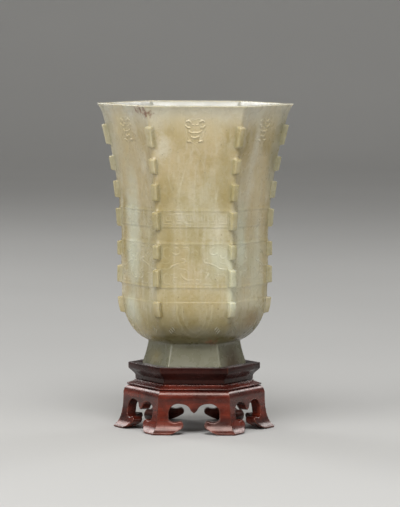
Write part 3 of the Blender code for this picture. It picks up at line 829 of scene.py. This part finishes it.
def makeCup():
    points, tints = placeCup()
    rowCount, columnCount = points.shape[:2]
    deselectAll()
    bpy.ops.mesh.primitive_cylinder_add(vertices=columnCount, radius=1.0, depth=1.0, end_fill_type="NGON")
    piece = bpy.context.object
    piece.name = "carvedJadeCup"
    pickUp(piece)
    bpy.ops.object.mode_set(mode="EDIT")
    bpy.ops.mesh.select_mode(type="EDGE")
    cutsFirst = 15
    passes = (cutsFirst, math.ceil((rowCount - 1) / cutsFirst))
    for cuts in passes:  # two passes of upright cuts make every row
        bpy.ops.mesh.select_all(action="DESELECT")
        bpy.ops.object.mode_set(mode="OBJECT")
        upright = [abs(piece.data.vertices[a].co.z - piece.data.vertices[b].co.z) > 1e-4
                   for a, b in (edge.vertices for edge in piece.data.edges)]
        piece.data.edges.foreach_set("select", upright)
        bpy.ops.object.mode_set(mode="EDIT")
        bpy.ops.mesh.subdivide(number_cuts=cuts - 1)
    bpy.ops.object.mode_set(mode="OBJECT")
    mesh = piece.data
    flat = readPlaces(mesh)
    steps = math.prod(passes)
    row = np.rint((flat[:, 2] + 0.5) * steps).astype(int)
    turned = np.arctan2(flat[:, 1], flat[:, 0]) / (2 * math.pi)
    column = np.rint(turned * columnCount).astype(int) % columnCount
    place = row * (rowCount - 1) / steps  # a few rows more than drawn: read between the drawn ones
    low = np.minimum(np.floor(place).astype(int), rowCount - 2)
    share = (place - low)[:, None]
    moulded = points[low, column] * (1 - share) + points[low + 1, column] * share
    moulded[:, 2] += cup["base"]
    writePlaces(mesh, moulded)
    lip = int(np.argmax(points[:, 0, 2]))
    # inner: the inside of the cup, where painted shade darkens the stone
    writeTint(mesh, "inner", place > lip + 4)  # four rows past the top of the lip
    for name, tint in tints.items():
        writeTint(mesh, name, tint[np.rint(place).astype(int), column])
    mesh.update()
    smoothShade(piece, 55)
    mesh.materials.append(jade)
    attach(piece, "cup")
    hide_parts("jade_cup")
    print("cup carved,", rowCount, "rows by", columnCount)


makeCup()


# the low relief: fine patches set into each side, one joined piece per side

def makePatch(side, label):
    groups, start, depth, halfWide, low, high, step = carvings[label]
    across = int(2 * halfWide / step)
    up = int((high - low) / step)
    deselectAll()
    bpy.ops.mesh.primitive_grid_add(x_subdivisions=across, y_subdivisions=up, size=1.0)
    patch = bpy.context.object
    mesh = patch.data
    flat = readPlaces(mesh).astype(float)
    v = low + (flat[:, 1] + 0.5) * (high - low)
    h = start + v
    radius = np.array([wallRadius(x) + bandRise(x) for x in h])
    reach = np.minimum(halfWide, radius / 2 - clearOfCorner)
    u = flat[:, 0] * 2 * reach
    tall = np.zeros_like(u)
    for strokes, fromCorner in groups:
        along = np.abs(u + (waver("sway", h, side) + waver("slant", u, side)))
        along = radius / 2 - along if fromCorner else along
        tall = np.maximum(tall, strokeHeight(strokes(), along, v + waver("lift", u, side)))
    if label in rubbedByUse:
        tall *= 0.66 + 0.42 * np.sin(0.75 * u + 0.6 * h + 2.1 * side) * np.sin(0.45 * u - 0.7 * h + side)
    middle = (side + 0.5) * turn
    out = np.array((math.cos(middle), math.sin(middle)))
    place = radius[:, None] * cos30 * out + u[:, None] * np.array((-out[1], out[0]))
    roundness = np.array([wallRoundness(x) for x in h])
    place *= (1 + roundness * (radius / np.linalg.norm(place, axis=1) - 1))[:, None]
    place += (depth * tall - cutIn)[:, None] * out
    moulded = np.column_stack((place, h + cup["base"] / mm)) * mm
    writePlaces(mesh, moulded)
    writeTint(mesh, "carving", tall)
    mesh.update()
    useModifier(patch, "SOLIDIFY", thickness=patchThickness * mm, offset=-1.0)
    return patch


for side in range(sides):
    patches = [makePatch(side, label) for label in carvings]
    deselectAll()
    for patch in patches:
        patch.select_set(True)
    bpy.context.view_layer.objects.active = patches[0]
    bpy.ops.object.join()
    relief = bpy.context.object
    relief.name = f"carvedRelief_{side + 1}"
    smoothShade(relief, 60)
    relief.data.materials.append(reliefJade)
    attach(relief, "cup")
print("relief cut on", sides, "sides")


# the stand: one length of each tier is made at the front, then turned to all six sides

stand = {
    "apronHeight": 19.3,
    "tierGap": 0.25,
    "waistHeight": 2.2,
    "rimHeight": 7.6,
    "mitreGap": 0.12,
    "seatClearance": 0.5,
    "rimLand": 4.6,
    "rimUndercut": 2.75,
    "rimFascia": 2.4,
    "rimThroat": 1.5,
    "rimLedge": 1.6,
    "seatDepth": 1.7,
    "floorThickness": 3.0,
    "groove": 1.0,
    "grooveClearance": 0.25,
    "upperBead": 0.35,
    "upperBeadRadius": 0.3,
    "lowerBead": 3.25,
    "lowerBeadRadius": 0.4,
    "shoulderStep": 1.3,
    "shoulderRadius": 2.2,
    "shoulderDrop": 3.6,
    "shoulderThickness": 8.6,
    "shoulderDepth": 3.5,
    "legThickness": 4.6,
    "toeFlare": 4.0,
    "toeEdge": 0.8,
    "toeChamfer": 0.5,
    "legSweep": ((0.0, 0.44), (0.225, 0.135)),
    "legBack": ((0.30, 0.17), (0.0, 0.60)),
    "grainStep": (0.37, 0.11, 0.05),  # how far the figure moves on from one side to the next
    "voxel": 0.26,
    "sawWaste": 4.0,  # left on a bar's ends for the mitre cuts
    "floorEdge": 0.2,
}
stand["seat"] = cup["foot"] * cos30 + stand["seatClearance"]
stand["waistFoot"] = stand["apronHeight"] + stand["tierGap"]
stand["rimFoot"] = stand["waistFoot"] + stand["waistHeight"] + stand["tierGap"]
stand["rimTop"] = stand["rimFoot"] + stand["rimHeight"]
stand["floorTop"] = stand["rimTop"] - stand["seatDepth"]
stand["rim"] = stand["seat"] + stand["rimLand"]
stand["rimNeck"] = stand["rim"] - stand["rimUndercut"]
stand["shoulder"] = stand["rimNeck"] + stand["lowerBead"] + stand["shoulderStep"]
stand["toe"] = stand["shoulder"] + stand["toeFlare"]

arch = {
    "padWidth": 4.2,
    "legWidth": 4.6,
    "toeReach": 11.4,
    "toeHeight": 5.9,
    "toeTip": 1.7,
    "ankle": 6.6,
    "height": 13.7,
    "lobe": 4.4,
    "pendantDrop": 4.2,
    "pendantWidth": 3.8,
    "belowGround": 6.0,  # the tool cuts past the feet
}


def scaled(points):
    return [(a * mm, z * mm) for a, z in points]


def frontBar(name, profile):
    reach = (stand["toe"] + stand["sawWaste"]) * tan30 * mm
    bar = filledOutline(name, [(-reach, -a, z) for a, z in scaled(profile)])
    pullOut(bar, (2 * reach, 0, 0))
    return bar


def rimSection():
    foot, top = stand["rimFoot"], stand["rimTop"]
    low, high = foot + stand["rimThroat"], top - stand["rimFascia"]
    seat, neck, rim = stand["seat"], stand["rimNeck"], stand["rim"]
    ogee = bezierPoints([(neck, low), (neck, low + 0.40 * (high - low)), (rim, low + 0.82 * (high - low)),
                         (rim, high)], 18)
    grooveTop = stand["floorTop"] + stand["grooveClearance"]
    grooveFoot = stand["floorTop"] - stand["floorThickness"] - stand["grooveClearance"]
    ledge = seat - stand["rimLedge"]
    deep = seat + stand["groove"]
    return [(ledge, foot), (neck, foot), (neck, low), *ogee, (rim, top), (seat, top),
            (seat, grooveTop), (deep, grooveTop), (deep, grooveFoot), (ledge, grooveFoot)]


def waistSection():
    foot = stand["waistFoot"]
    top = foot + stand["waistHeight"]
    big, small = stand["lowerBeadRadius"], stand["upperBeadRadius"]
    neck = stand["rimNeck"]
    lower = arcPoints((neck + stand["lowerBead"] - big, foot + big), (big, big), -90, 90, 10)
    upper = arcPoints((neck + stand["upperBead"] - small, top - small), (small, small), -30, 90, 8)
    ledge = stand["seat"] - stand["rimLedge"]
    return [(ledge, foot), *lower, *upper, (ledge, top)]


def apronSection():
    r, drop = stand["shoulderRadius"], stand["shoulderDrop"]
    top, shoulder = stand["apronHeight"], stand["shoulder"]
    bullnose = arcPoints((shoulder - r, top - drop), (r, drop), 90, 0, 14)
    pulls = [(shoulder + out * stand["toeFlare"], up * top) for out, up in stand["legSweep"]]
    sweep = bezierPoints([bullnose[-1], *pulls, (stand["toe"], stand["toeEdge"])], 24)
    pad = stand["toe"] - stand["toeChamfer"]
    back = [(shoulder + out * stand["toeFlare"] - stand["legThickness"], up * top)
            for out, up in stand["legBack"]]
    inner = shoulder - stand["shoulderThickness"]
    return [*bullnose, *sweep, (pad, 0.0), (pad - stand["legThickness"], 0.0), *back,
            (inner, top - stand["shoulderDepth"]), (inner, top)]


def archOutline():
    corner = stand["shoulder"] * tan30
    pad, leg, toe = corner - arch["padWidth"], corner - arch["legWidth"], corner - arch["toeReach"]
    curl, bow = arch["toeTip"], arch["lobe"]
    tip = arcPoints((toe + curl, arch["toeHeight"] - curl), (curl, curl), 245, 85, 12)
    lobe = arcPoints((leg - bow, arch["height"] - bow), (bow, bow), 0, 100, 18)
    drop = arch["height"] - arch["pendantDrop"]
    hip = (arch["pendantWidth"] / 2, (drop + arch["height"]) / 2)
    half = [(pad, -arch["belowGround"]), (pad, 0.0)]
    half += bezierPoints([(pad, 0.0), (toe + (pad - toe) * 0.53, 0.14 * arch["toeHeight"]), tip[0]], 10)
    half += tip[1:]
    instep = (toe + (leg - toe) * 0.7, 0.7 * arch["ankle"])
    half += bezierPoints([half[-1], instep, (leg, arch["ankle"])], 10)
    half += lobe
    half += bezierPoints([lobe[-1], (0.75 * arch["pendantWidth"], 0.98 * arch["height"]), hip], 8)
    point = (0.37 * arch["pendantWidth"], drop + 0.17 * arch["pendantDrop"])
    half += bezierPoints([hip, point, (0.0, drop)], 8)
    return half + [(-u, v) for u, v in half[-2::-1]]


def makeApron():
    panel = frontBar("apronFront", apronSection())
    front = -2 * stand["toe"] * mm
    cutter = filledOutline("archTool", [(u, front, v) for u, v in scaled(archOutline())])
    pullOut(cutter, (0, 1.5 * stand["toe"] * mm, 0))
    useModifier(panel, "BOOLEAN", operation="DIFFERENCE", object=cutter, solver="EXACT")
    binPiece(cutter)
    useModifier(panel, "REMESH", mode="VOXEL", voxel_size=stand["voxel"] * mm)
    useModifier(panel, "SMOOTH", factor=0.5, iterations=7)
    sawMitres(panel, stand["mitreGap"] * mm)  # sawn last, so that the corners stay crisp
    return panel


def easeEdges(piece, width, segments):
    useModifier(piece, "BEVEL", width=width * mm, segments=segments, limit_method="ANGLE",
                angle_limit=math.radians(35))


def makeRail(name, section, edge):
    rail = frontBar(name, section)
    sawMitres(rail, stand["mitreGap"] * mm)
    easeEdges(rail, edge, 3)
    return rail


def makeTrayFloor():
    apothem = (stand["seat"] + stand["groove"] - stand["grooveClearance"]) * mm
    low = (stand["floorTop"] - stand["floorThickness"]) * mm
    corner = apothem / cos30
    corners = [(corner * math.cos(i * turn), corner * math.sin(i * turn), low) for i in range(sides)]
    panel = filledOutline("trayFloorPanel", corners)
    pullOut(panel, (0, 0, stand["floorThickness"] * mm))
    easeEdges(panel, stand["floorEdge"], 2)
    return panel


def markGrain(piece, offset):  # along, through and up the piece, as it lies before it is turned
    grain = readPlaces(piece.data) + np.array(offset, np.float32)
    layer = piece.data.attributes.new("grain", "FLOAT_VECTOR", "POINT")
    layer.data.foreach_set("vector", grain.ravel())


def markWear(piece, sharpness):  # outward edges, where hands and cloths have rubbed
    mesh = piece.data
    place, normal = readPlaces(mesh), readPlaces(mesh, "normal")
    ends = np.empty(len(mesh.edges) * 2, np.int32)
    mesh.edges.foreach_get("vertices", ends)
    ends = ends.reshape(-1, 2)
    way = place[ends[:, 1]] - place[ends[:, 0]]
    way /= np.maximum(np.linalg.norm(way, axis=1, keepdims=True), 1e-9)
    lean = np.zeros(len(place))
    met = np.zeros(len(place))
    for end, sign in ((0, 1.0), (1, -1.0)):
        np.add.at(lean, ends[:, end], -sign * (way * normal[ends[:, end]]).sum(1))
        np.add.at(met, ends[:, end], 1)
    writeTint(mesh, "wear", easeStep(lean / np.maximum(met, 1), *sharpness))


def dressWood(piece, nodeName, material):
    piece.data.materials.clear()
    piece.data.materials.append(material)
    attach(piece, "stand")
    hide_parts(nodeName)


def turnToSides(master, name, nodeName, degrees, wood, sharpness):
    smoothShade(master, degrees)
    markWear(master, sharpness)
    for side in range(sides):
        piece = master.copy()
        piece.data = master.data.copy()
        piece.name = f"{name}_{side + 1}"
        bpy.context.scene.collection.objects.link(piece)
        markGrain(piece, [step * side for step in stand["grainStep"]])
        piece.data.transform(Matrix.Rotation(side * turn, 4, "Z"))
        dressWood(piece, f"{nodeName}_{side + 1}", wood)
    binPiece(master)
    print(name, "set on all sides")


apron = makeApron()
turnToSides(apron, "scrolledApron", "apron_panel", degrees=60, wood=standWood, sharpness=(0.04, 0.16))
waist = makeRail("waistFront", waistSection(), edge=0.10)
turnToSides(waist, "beadedWaist", "waist_rail", degrees=35, wood=standWood, sharpness=(0.15, 0.35))
rim = makeRail("rimFront", rimSection(), edge=0.25)
turnToSides(rim, "hollowRim", "rim_rail", degrees=35, wood=rimWood, sharpness=(0.15, 0.35))

trayFloor = makeTrayFloor()
smoothShade(trayFloor, 35)
markGrain(trayFloor, offset=(0.0, 0.0, 0.9))
markWear(trayFloor, sharpness=(0.1, 0.3))
dressWood(trayFloor, "tray_floor", standWood)

for nodeName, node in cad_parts.items():  # hidden keys and pins keep their solids
    if "key" in nodeName or "pin" in nodeName:
        node.data.materials.clear()
        node.data.materials.append(keyWood)
print("tray floor laid, keys and pins in wood")


# pale sweep, soft light, and the camera where the photograph was taken from

studio = {
    "floor": (0.52, 0.515, 0.50),
    "radius": 3.4,
    "wall": 2.6,
    "fold": 1.0,
    "worldColour": (1.0, 0.99, 0.97, 1.0),
    "worldStrength": 0.20,
    "softboxes": {  # place, aim, size in metres and power in watts
        "topBox": ((0.0, -0.85, 1.15), (0.0, 0.0, 0.08), (0.75, 0.7), 15.8),
        "keyBox": ((-1.05, -1.1, 0.75), (0.0, 0.0, 0.08), (0.7, 0.9), 10.3),
        "fillBox": ((1.2, -1.0, 0.5), (0.0, 0.0, 0.08), (0.5, 0.9), 3.8),
        "leftBackBox": ((-0.9, 0.96, 0.75), (0.0, 0.0, 0.05), (0.5, 0.6), 5.0),
        "rightBackBox": ((0.9, 0.96, 0.75), (0.0, 0.0, 0.05), (0.4, 0.5), 3.0),
        "wallBox": ((0.0, 2.0, 1.7), (0.0, 3.4, 0.8), (0.5, 0.5), 4.0),
    },
}


def makeSweep():  # round paper sweep, floor running up into the wall on every side
    deselectAll()
    bpy.ops.mesh.primitive_cylinder_add(vertices=96, radius=studio["radius"], depth=studio["wall"],
                                        location=(0, 0, studio["wall"] / 2))
    sweep = bpy.context.object
    sweep.name = "paleSweep"
    bpy.ops.object.transform_apply(location=True)
    bpy.ops.object.mode_set(mode="EDIT")
    bpy.ops.mesh.select_mode(type="FACE")
    bpy.ops.mesh.select_all(action="DESELECT")
    bpy.ops.object.mode_set(mode="OBJECT")
    for face in sweep.data.polygons:
        face.select = face.center.z > studio["wall"] - 0.01
    bpy.ops.object.mode_set(mode="EDIT")
    bpy.ops.mesh.delete(type="FACE")
    bpy.ops.mesh.select_mode(type="EDGE")
    bpy.ops.object.mode_set(mode="OBJECT")
    for edge in sweep.data.edges:
        edge.select = all(sweep.data.vertices[i].co.z < 0.01 for i in edge.vertices)
    bpy.ops.object.mode_set(mode="EDIT")
    bpy.ops.mesh.bevel(offset=studio["fold"], segments=14, affect="EDGES")
    bpy.ops.mesh.select_all(action="SELECT")
    bpy.ops.mesh.flip_normals()
    bpy.ops.object.mode_set(mode="OBJECT")
    smoothShade(sweep, 60)
    material, tree, shader = newMaterial("palePaper")
    place = addNode(tree, "ShaderNodeTexCoord").outputs["Object"]
    tone = cloud(tree, place, 3.0, 2.0, 0.3, 0.7)
    paler = tuple(min(1.0, c * 1.03) for c in studio["floor"])
    wire(tree, shader, Base_Color=mixColour(tree, tone, studio["floor"], paler), Roughness=0.9)
    sweep.data.materials.append(material)


def addSoftbox(name, place, aim, size, power):
    deselectAll()
    bpy.ops.object.light_add(type="AREA", location=place)
    lamp = bpy.context.object
    lamp.name = name
    lamp.rotation_euler = (Vector(aim) - Vector(place)).to_track_quat("-Z", "Y").to_euler()
    lamp.data.shape = "RECTANGLE"
    lamp.data.size, lamp.data.size_y = size
    lamp.data.energy = power


def makeLight():
    for name, settings in studio["softboxes"].items():
        addSoftbox(name, *settings)
    world = bpy.data.worlds.new("softRoom")
    bpy.context.scene.world = world
    world.use_nodes = True
    sky = world.node_tree.nodes["Background"]
    wire(world.node_tree, sky, Color=studio["worldColour"], Strength=studio["worldStrength"])


photo = {
    "width": 400,
    "height": 507,
    "mmPerPixel": 0.45,
    "distancePixels": 3500,
    "axisPixel": 194.7,
    "horizonPixel": -6.0,
    "groundPixel": 428.6,  # ground under the cup's axis
    "roll": 0.25,
    "sensor": 36.0,
}


def makeCamera():
    unit = photo["mmPerPixel"] * mm
    distance = photo["distancePixels"] * unit
    side = (photo["width"] / 2 - photo["axisPixel"]) * unit
    eye = Vector((side, -distance, (photo["groundPixel"] - photo["horizonPixel"]) * unit))
    aim = Vector((side, 0, (photo["groundPixel"] - photo["height"] / 2) * unit))
    bpy.ops.object.camera_add(location=eye)
    camera = bpy.context.object
    camera.name = "photoCamera"
    look = (aim - eye).to_track_quat("-Z", "Y").to_matrix()
    camera.rotation_euler = (look @ Matrix.Rotation(math.radians(photo["roll"]), 3, "Z")).to_euler()
    camera.data.sensor_width = photo["sensor"]
    camera.data.lens = photo["distancePixels"] / photo["height"] * photo["sensor"]
    camera.data.clip_end = 20.0
    bpy.context.scene.camera = camera


makeSweep()
makeLight()
deselectAll()
makeCamera()
bpy.context.scene.view_settings.view_transform = "Standard"
print("studio set")
